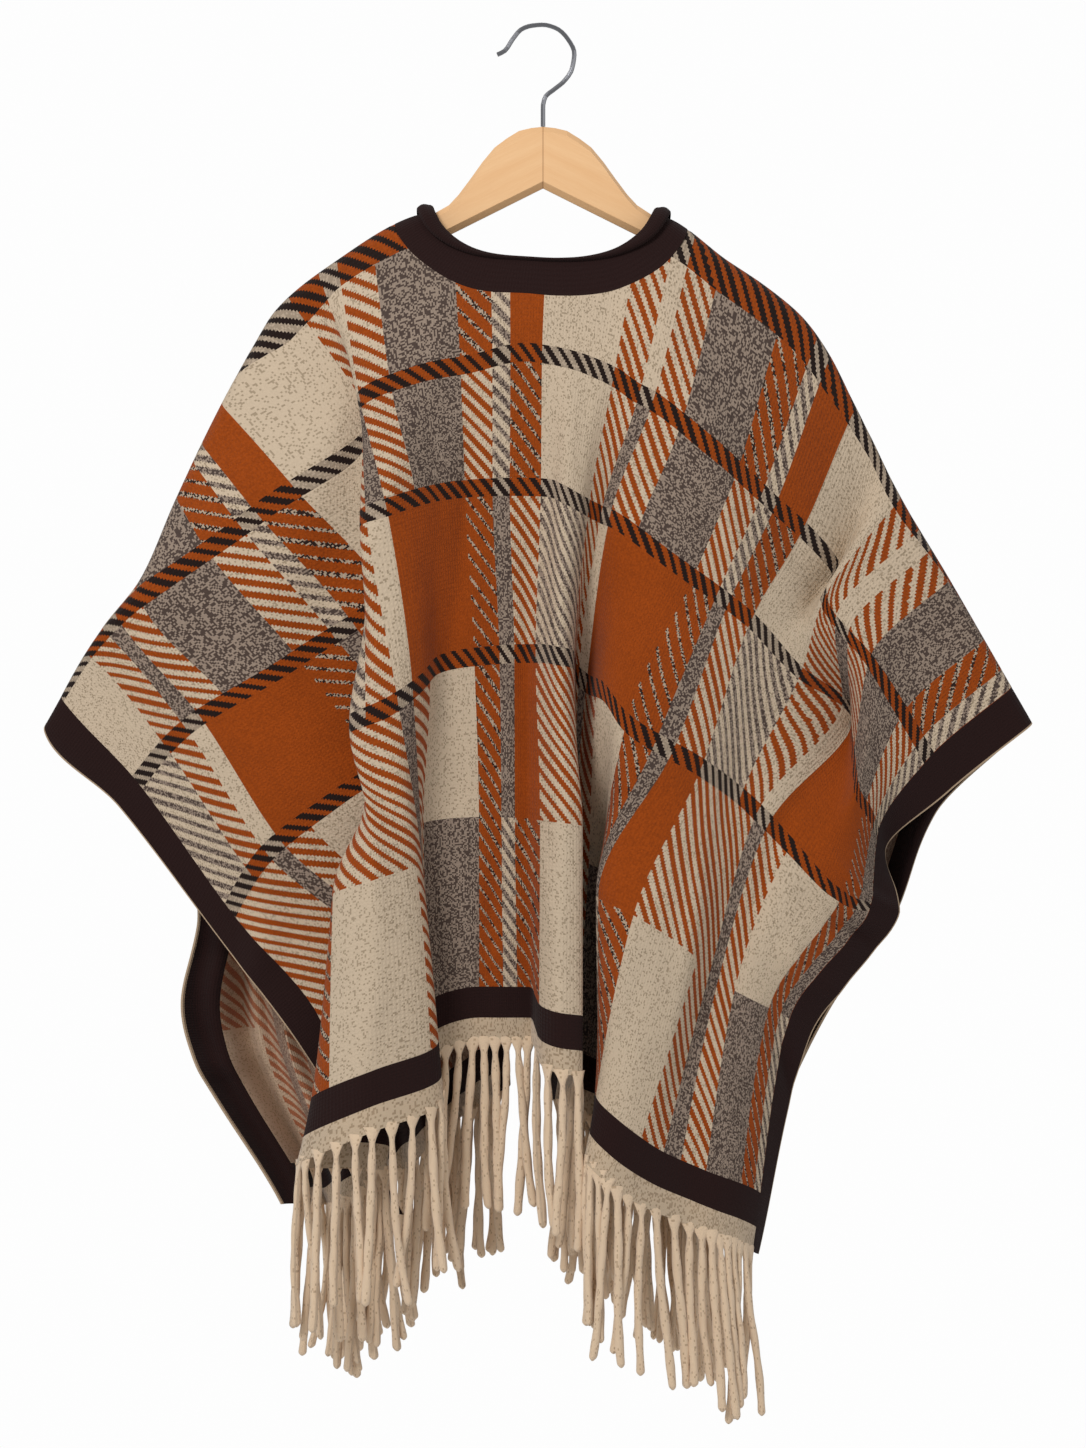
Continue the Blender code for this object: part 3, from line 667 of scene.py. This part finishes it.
def in_dash_row(s, v, w):
    """1 inside the rows of dashes and 0 outside."""
    row = s.math("MULTIPLY", s.math("GREATER_THAN", w, TOP_DASHES[0]),
                 s.math("LESS_THAN", w, TOP_DASHES[1]))
    for middle in DASH_ROWS:
        row = s.math("MAXIMUM", row, s.math("COMPARE", v, middle, DASH_HALF_HEIGHT))
    return row


def plaid(name, reverse):
    """The knitted plaid, on the cloth's face or paler on its reverse."""
    s = Shader(name)
    u, w = s.flat()
    v = s.math("ABSOLUTE", w)
    stitch_u = s.math("SNAP", u, STITCH)
    stitch_v = s.math("SNAP", v, STITCH)
    luck = s.chance(u, w, FLECK, FLECK)
    cloud = s.noise(s.vector(u, w), 0.02, 3.0)
    column = s.math("FRACT", s.math("DIVIDE", s.math("ADD", stitch_u, COLUMN_SHIFT), REPEAT))
    diagonal = s.math("SUBTRACT", stitch_u, stitch_v)
    stripe = s.band(diagonal, STRIPE, 0.5)
    line = s.band(diagonal, LINE, 0.27)

    rust = s.mix(s.math("MULTIPLY", luck, 0.5), RUST, RUST_SHADE)
    cream = s.mix(s.math("GREATER_THAN", luck, 0.82), s.mix(cloud, CREAM, CREAM_SHADE), CREAM_FLECK)
    tweed = s.mix(s.math("GREATER_THAN", luck, 0.52), TWEED_DARK, TWEED_LIGHT)
    speck = s.mix(s.math("GREATER_THAN", luck, 0.5), SPECK_DARK, SPECK_LIGHT)
    fills = (
        rust,
        cream,
        s.mix(stripe, cream, rust),
        tweed,
        s.mix(line, rust, speck),
        s.mix(stripe, tweed, cream),
    )
    code = plaid_code(s, column, stitch_v)
    cloth = fills[0]
    for k in range(1, len(fills)):
        cloth = s.mix(s.math("COMPARE", code, float(k), 0.3), cloth, fills[k])
    ground = s.mix(steps(s, column, DASH_GROUND), rust, s.mix(0.5, cream, tweed))
    cloth = s.mix(in_dash_row(s, v, w), cloth, s.mix(stripe, ground, DASH))
    if reverse:
        cloth = s.mix(0.3, cloth, REVERSE_TINT)
    shade = s.math("MULTIPLY_ADD", cloud, 0.25, 0.86)
    shaded = s.mix(1.0, cloth, s.vector(shade, shade, shade), "MULTIPLY")

    wale = s.wave(u, WALE)
    course = s.wave(s.math("ADD", w, s.math("MULTIPLY", wale, 0.5)), COURSE)
    fuzz = s.noise(s.vector(u, w), 0.9, 4.0)
    knit = s.math("MULTIPLY", s.math("ADD", wale, course), 0.25)
    s.bump(s.math("ADD", knit, s.math("MULTIPLY", fuzz, 1.6)), 0.0006, 0.8)
    return s.finish(shaded, 0.95, 0.06)


def trim(name, edged):
    """The dark border's knit, with a pale line along its outer edge if it has one."""
    s = Shader(name)
    u, w = s.flat()
    fuzz = s.noise(s.vector(u, w), 0.8, 4.0)
    colour = s.mix(fuzz, TRIM_LIGHT, TRIM_DARK)
    if edged:
        edge = s.math("GREATER_THAN", s.math("ABSOLUTE", u), HALF_WIDTH - TRIM_EDGE_WIDTH)
        colour = s.mix(edge, colour, TRIM_EDGE)
    ribs = s.math("ADD", s.wave(u, TRIM_RIB), s.wave(w, TRIM_RIB))
    s.bump(s.math("MULTIPLY_ADD", ribs, 0.2, fuzz), 0.0007, 0.8)
    return s.finish(colour, 0.95, 0.04)


def yarn(name, light, dark, plain_share):
    """Brushed yarn: this share of it in the light colour, the rest flecked with the dark one."""
    s = Shader(name)
    u, w = s.flat()
    luck = s.chance(u, w, *YARN_FLECK)
    colour = s.mix(s.math("GREATER_THAN", luck, plain_share), light, dark)
    cloud = s.noise(s.vector(u, w), 0.05, 3.0)
    colour = s.mix(s.math("MULTIPLY", cloud, 0.5), colour, YARN_CLOUD)
    s.bump(s.noise(s.vector(u, w), 0.7, 4.0), 0.0012, 0.8)
    return s.finish(colour, 0.92, 0.3)


def wood():
    """Beech with its grain along both arms, and the seam where they meet."""
    s = Shader("beech")
    x, y, z = s.split(s.place())
    x = s.math("ABSOLUTE", x)
    across = s.math("MULTIPLY_ADD", x, 0.5, z)
    broad = s.vector(s.math("MULTIPLY", x, 9.0), s.math("MULTIPLY", across, 130.0), y)
    narrow = s.vector(s.math("MULTIPLY", x, 60.0), s.math("MULTIPLY", across, 900.0))
    grain = s.noise(broad, 1.0, 4.0)
    fine = s.noise(narrow, 1.0, 2.0)
    colour = s.mix(grain, BEECH, BEECH_GRAIN)
    colour = s.mix(s.math("MULTIPLY", fine, 0.35), colour, BEECH_FINE)
    seam = s.math("LESS_THAN", x, 0.00045)
    colour = s.mix(s.math("MULTIPLY", seam, 0.6), colour, BEECH_SEAM)
    s.bump(grain, 0.0003, 0.3)
    s.finish(colour, 0.42)
    s.put(s.surface.inputs["Specular IOR Level"], 0.4)
    return s.material


def chrome():
    """The hook's polished wire."""
    s = Shader("chrome wire")
    s.finish(s.mix(s.noise(s.place(), 40.0), STEEL_LIGHT, STEEL_DARK), 0.16)
    s.put(s.surface.inputs["Metallic"], 1.0)
    return s.material


CLOTH = [plaid("plaid face", False), plaid("plaid reverse", True)]
TRIM = [trim("dark trim", False)]
SIDE_TRIM = [trim("dark side trim", True)]
STRIP = [
    yarn("cream strip", STRIP_LIGHT, STRIP_DARK, 0.72),
    yarn("fringe yarn", YARN_LIGHT, YARN_DARK, 0.93),
]


def panel_piece(name, us, depth, sign, rows):
    """A plaid panel from the neck band and the fold down to its hem, face and reverse."""
    start = neck_line(us, depth) + SEAM
    fold_v = shoulder(us)[1] if sign > 0 else 0 * us
    ws = sign * rows_down(start, fold_v, HEM_TOP - SEAM, rows)
    vertices, faces, flat = wall(us, ws)
    half = len(vertices) // 2
    count = (ws.shape[0] - 1) * (ws.shape[1] - 1)
    first_is_face = ((vertices[half:] - vertices[:half])[:, 1] * sign).mean() > 0
    shown_from = 0 if first_is_face else count
    index = np.ones(len(faces), int)
    index[shown_from:shown_from + count] = 0
    return new_piece(name, vertices, faces, flat, CLOTH, index)


def rolled_ring(turns, depth, sign):
    """The band round the neck: across the cloth to its cut edge, which rolls outward and laps.

    Turns run round the neck hole, from 0 at its middle to a quarter turn at each shoulder.
    """
    across = np.linspace(0, 1, BAND_ROWS)
    outer = NECK_HALF_WIDTH + NECK_BAND - SEAM
    us = np.sin(turns)[:, None] * (outer + (NECK_HALF_WIDTH - outer) * across)
    ws = np.cos(turns)[:, None] * (depth + (NECK_BAND - SEAM) * (1 - across))
    ws = sign * np.maximum(ws, NECK_LEAST_W)
    path = sheet_at(us.ravel(), ws.ravel()).reshape(*us.shape, 3)
    normal = normal_at(us.ravel(), ws.ravel()).reshape(*us.shape, 3)
    normal = normal * np.sign((normal[:, :, 1] * -sign).mean())

    reach = path[:, -1] - path[:, -2]
    reach /= np.linalg.norm(reach, axis=1, keepdims=True)
    bulge = np.abs(np.sin(turns))[:, None] ** 3
    radius = ROLL_RADIUS + ROLL_RADIUS_MORE * bulge
    lap = LAP + LAP_MORE * bulge
    rim, up = path[:, -1], normal[:, -1]
    places, normals = [], []
    for angle in np.linspace(0, 1, ROLL_ROWS + 1)[1:] * math.pi:
        around = math.sin(angle) * reach - math.cos(angle) * up
        places.append(rim + up * radius + around * radius)
        normals.append(-around)
    for part in np.linspace(0, 1, LAP_ROWS + 1)[1:]:
        crown = LAP_CROWN * bulge * math.sin(part * math.pi) - LAP_TUCK * part ** 3
        places.append(rim + up * (2 * radius + crown) - reach * lap * part)
        normals.append(-up)
    path = np.concatenate([path, np.stack(places, axis=1)], axis=1)
    normal = np.concatenate([normal, np.stack(normals, axis=1)], axis=1)
    along, down = np.meshgrid(
        turns * NECK_TURN_LENGTH, np.arange(path.shape[1]) * NECK_ROW_LENGTH, indexing="ij")
    return thicken(path, normal, np.stack([along.ravel(), down.ravel()], axis=1))


def strand(number, root, along, outward, length, luck):
    """One twisted strand, spread where it leaves the strip: its points and their flat places."""
    t = STRAND_STOPS
    turn = np.linspace(0, 2 * math.pi, STRAND_SIDES, endpoint=False)
    drop = length * (1 + 0.05 * math.sin(2.4 * (2 * number + 1)) + luck.uniform(-0.05, 0.03))
    bend = luck.uniform(-STRAND_BEND, STRAND_BEND, 2)
    curl = luck.uniform(-STRAND_CURL, STRAND_CURL, 2)
    phase = luck.uniform(0, 6.28)
    centre = root + np.stack([
        bend[0] * t ** 1.5 + curl[0] * np.sin(t * 5 + phase) * t,
        0.5 * bend[1] * t ** 1.5 + curl[1] * np.sin(t * 4 + phase) * t,
        -drop * t,
    ], axis=1)
    pinch = np.exp(-((t - 0.11) / 0.05) ** 2)
    flare = np.clip(1 - t / ROOT_SHARE, 0, 1)
    girth = luck.uniform(*STRAND_GIRTH) * (1 + 0.12 * t - 0.25 * pinch)
    tip = np.sqrt(np.clip((1 - t) / TIP_SHARE, 0.03, 1))
    wide = (girth + ROOT_FLARE * flare ** 1.3) * tip
    deep = girth * (1 - 0.68 * flare ** 0.7) * tip
    twisted = t[:, None] * TWIST_ANGLE * drop / TWIST_LENGTH
    twist = 1 + 0.10 * np.cos(2 * (turn[None] - twisted - phase))
    points = (centre[:, None]
              + wide[:, None, None] * (np.cos(turn) * twist)[..., None] * along
              + deep[:, None, None] * (np.sin(turn) * twist)[..., None] * outward)
    around = np.tile(turn * 4 + 37 * number, len(t))
    return points.reshape(-1, 3), np.stack([around, np.repeat(t * drop, STRAND_SIDES)], axis=1)


def fringe_piece(name, start, end, sign, length, seed):
    """The cream strip below a hem and the strands that hang from it."""
    luck = np.random.default_rng(seed)
    strip_us = np.linspace(start, end, STRIP_COLUMNS)
    vertices, faces, flat = wall(strip_us, sign * np.linspace(HEM_BOTTOM + SEAM, LENGTH, STRIP_ROWS))
    count = int(abs(end - start) / STRAND_PITCH)
    centres = start + (end - start) * (np.arange(count) + 0.5) / count
    root_ws = np.full(count, sign * (LENGTH - STRAND_INSET))
    roots = sheet_at(centres, root_ws)
    along = sheet_at(centres + 3, root_ws) - roots
    along[:, 2] = 0
    along /= np.linalg.norm(along, axis=1, keepdims=True)
    outward = np.stack([-along[:, 1], along[:, 0], 0 * centres], axis=1)
    strands = [strand(k, roots[k], along[k], outward[k], length, luck) for k in range(count)]

    rings = len(STRAND_STOPS)
    tube = grid_faces(rings, STRAND_SIDES, loop=True)
    caps = np.arange(STRAND_SIDES)[::-1], np.arange(STRAND_SIDES) + (rings - 1) * STRAND_SIDES
    bases = [len(vertices) + k * rings * STRAND_SIDES for k in range(count)]
    tubes = [face for base in bases for face in (tube + base).tolist()]
    ends = [(cap + base).tolist() for base in bases for cap in caps]
    index = np.ones(len(faces) + len(tubes) + len(ends), int)
    index[:len(faces)] = 0
    return new_piece(
        name, np.concatenate([vertices, *[points for points, _ in strands]]),
        faces.tolist() + tubes + ends,
        np.concatenate([flat, *[places for _, places in strands]]), STRIP, index)


def joined(first, second):
    """Two walls' vertices, faces and flat places as one."""
    return (
        np.concatenate([first[0], second[0]]),
        np.concatenate([first[1], second[1] + len(first[0])]),
        np.concatenate([first[2], second[2]]),
    )


INNER = HALF_WIDTH - SIDE_BAND - SEAM
BACK_US = np.linspace(-INNER, INNER, BACK_COLUMNS)
FRONT_US = np.linspace(NECK_BAND + SEAM, INNER, FRONT_COLUMNS)
HEM_WS = np.linspace(HEM_TOP + SEAM, HEM_BOTTOM - SEAM, BAND_ROWS)
# From the front's hem to the back's, closer together over the fold
SIDE_WS = np.concatenate([
    np.linspace(-LENGTH, -20, 110), np.linspace(-14, 160, 60), np.linspace(166, LENGTH, 88),
])

back_cloth = panel_piece("back_cloth", BACK_US, BACK_NECK_DEPTH, 1, BACK_ROWS)
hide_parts("back_panel")

hem_back = new_piece("hem_trim_back", *wall(BACK_US, HEM_WS), TRIM)
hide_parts("hem_band_back")

neck_turns = np.linspace(-math.pi / 2, math.pi / 2, BACK_NECK_TURNS)
neck_trim = new_piece("neck_trim", *rolled_ring(neck_turns, BACK_NECK_DEPTH, 1), TRIM)
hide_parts("neck_band")

fringe_back = fringe_piece("fringe_yarn_back", -INNER, INNER, 1, BACK_STRANDS, 3)
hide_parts("fringe_back")

shown = [back_cloth, hem_back, neck_trim, fringe_back]
for word, sign in (("left", -1), ("right", 1)):
    us = sign * FRONT_US
    cloth = panel_piece("front_cloth_" + word, us, FRONT_NECK_DEPTH, -1, FRONT_ROWS)
    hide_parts("front_panel_" + word)

    hem = new_piece("hem_trim_front_" + word, *wall(us, -HEM_WS), TRIM)
    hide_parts("hem_band_front_" + word)

    ends = (sign * (NECK_BAND + SEAM), sign * INNER)
    tail = fringe_piece("fringe_yarn_front_" + word, *ends, -1, FRONT_STRANDS, 11 + sign)
    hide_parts("fringe_front_" + word)

    side_us = sign * np.linspace(INNER + 2 * SEAM, HALF_WIDTH, SIDE_COLUMNS)
    side = new_piece("side_trim_" + word, *wall(side_us, SIDE_WS), SIDE_TRIM)
    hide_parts("side_band_" + word)

    neck_turns = sign * np.linspace(0.006, math.pi / 2, FRONT_NECK_TURNS)
    edge_us = sign * np.linspace(SEAM, NECK_BAND - SEAM, BAND_ROWS)
    starts = neck_line(edge_us, FRONT_NECK_DEPTH)[:, None] + 2 * SEAM
    edge = wall(edge_us, -(starts + (LENGTH - starts) * np.linspace(0, 1, EDGE_ROWS)))
    trim_parts = joined(rolled_ring(neck_turns, FRONT_NECK_DEPTH, -1), edge)
    opening = new_piece("front_trim_" + word, *trim_parts, TRIM)
    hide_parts("front_band_" + word)
    shown += [cloth, hem, tail, side, opening]
for piece in shown:
    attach(piece, "root")

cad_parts["hanger_wood"].data.materials.clear()
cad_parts["hanger_wood"].data.materials.append(wood())
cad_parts["hook"].data.materials.clear()
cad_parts["hook"].data.materials.append(chrome())

floor_corners = [
    (FLOOR_HALF * x, FLOOR_HALF * y, FLOOR_HEIGHT)
    for x, y in ((-1, -1), (1, -1), (1, 1), (-1, 1))
]
floor_mesh = bpy.data.meshes.new("floor")
floor_mesh.from_pydata(floor_corners, [], [(0, 1, 2, 3)])
floor = bpy.data.objects.new("floor", floor_mesh)
bpy.context.scene.collection.objects.link(floor)
paper = Shader("pale floor")
paper.finish(paper.mix(paper.noise(paper.place(), 3.0), PAPER_LIGHT, PAPER_DARK), 0.9)
floor_mesh.materials.append(paper.material)

camera_data = bpy.data.cameras.new("camera")
camera_data.sensor_fit = "VERTICAL"
camera_data.sensor_height = CAMERA_SENSOR
camera_data.sensor_width = CAMERA_SENSOR
camera_data.lens = CAMERA_SENSOR * CAMERA_DISTANCE / VIEW_HEIGHT
camera_data.clip_end = 60.0
camera = bpy.data.objects.new("camera", camera_data)
camera.location = (0.0, -CAMERA_DISTANCE, CAMERA_HEIGHT)
camera.rotation_euler = (math.pi / 2, 0.0, 0.0)
bpy.context.scene.collection.objects.link(camera)
bpy.context.scene.camera = camera


def soft_light(name, place, size, power):
    """A round area light aimed at the cloth's middle."""
    data = bpy.data.lights.new(name, "AREA")
    data.shape = "DISK"
    data.size = size
    data.energy = power
    light = bpy.data.objects.new(name, data)
    light.location = place
    aim = np.array((0.0, 0.0, LIGHT_TARGET)) - np.array(place)
    tilt = math.acos(-aim[2] / np.linalg.norm(aim))
    light.rotation_euler = (tilt, 0.0, math.atan2(aim[1], aim[0]) - math.pi / 2)
    bpy.context.scene.collection.objects.link(light)


soft_light("key", (-1.35, -2.5, 1.3), 1.1, 62.0)
soft_light("fill", (2.2, -2.2, 0.0), 2.2, 7.0)
soft_light("behind", (0.6, 2.6, 0.9), 2.0, 10.0)

# The world lights the cloth less brightly than the camera sees it
world = bpy.data.worlds.new("studio")
world.use_nodes = True
sky = world.node_tree
sky.nodes["Background"].inputs[0].default_value = (1.0, 1.0, 1.0, 1.0)
path_kind = sky.nodes.new("ShaderNodeLightPath")
strength = sky.nodes.new("ShaderNodeMapRange")
strength.inputs["To Min"].default_value = WORLD_LIGHT
strength.inputs["To Max"].default_value = WORLD_SEEN
sky.links.new(path_kind.outputs["Is Camera Ray"], strength.inputs["Value"])
sky.links.new(strength.outputs[0], sky.nodes["Background"].inputs[1])
bpy.context.scene.world = world
bpy.context.scene.view_settings.view_transform = "Standard"
